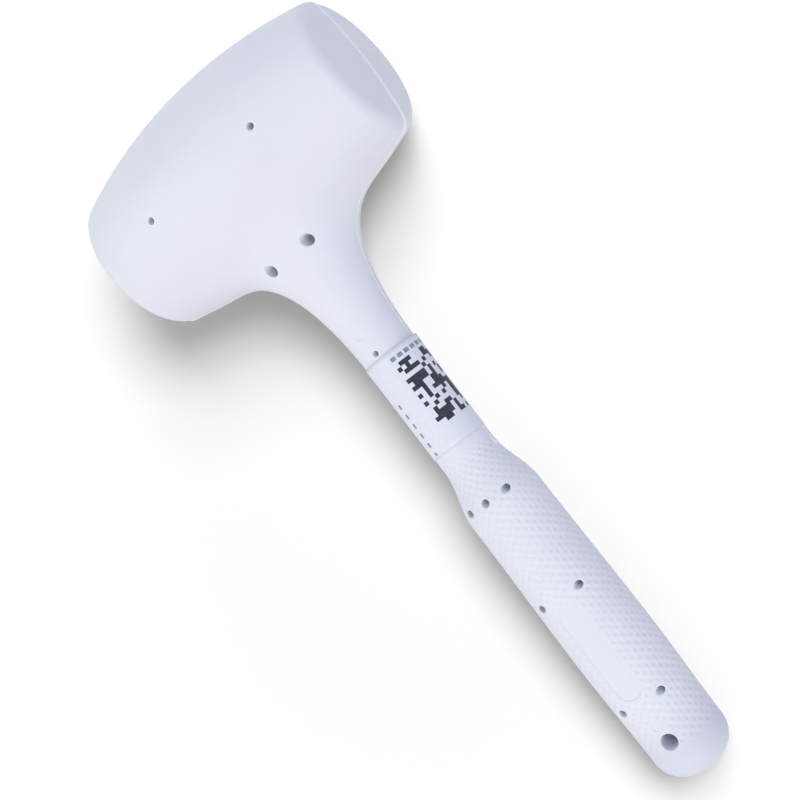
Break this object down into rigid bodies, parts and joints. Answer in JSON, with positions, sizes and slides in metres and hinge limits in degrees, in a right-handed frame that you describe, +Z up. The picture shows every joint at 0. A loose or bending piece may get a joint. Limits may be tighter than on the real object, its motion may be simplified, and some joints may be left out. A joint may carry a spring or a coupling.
{
  "type": "rubber mallet",
  "caption": "White non-marking rubber mallet moulded in one piece over a steel core, with a barrel head, flared throat, dimpled grip and hanging hole.",
  "frame": {"origin": "middle of the base of the whole tool's box, as it lies on its side on a flat surface, on the belly of its head and the edge of its butt", "axes": "+Z up across the parting plane, +X along the head, +Y from the butt towards the head"},
  "size_m": [0.126, 0.3169, 0.0753],
  "materials": {
    "white_rubber": "cool white moulded rubber, satin, with fine dimples on the grip",
    "steel": "plain drawn and turned steel, oiled",
    "shot_steel": "dull steel shot",
    "label_paper": null
  },
  "bodies": {
    "mallet": {"rubber_body": "white_rubber", "canister_tube": "steel", "left_end_cap": "steel", "right_end_cap": "steel", "core_collar": "steel", "handle_core": "steel", "core_plug": "steel", "label": "label_paper"},
    "shot": {"shot_charge": "shot_steel"}
  },
  "joints": [
    {"name": "shot_slide", "type": "slide", "parent": "mallet", "child": "shot", "axis": [1, 0, 0], "range_m": [-0.006, 0.006]}
  ]
}
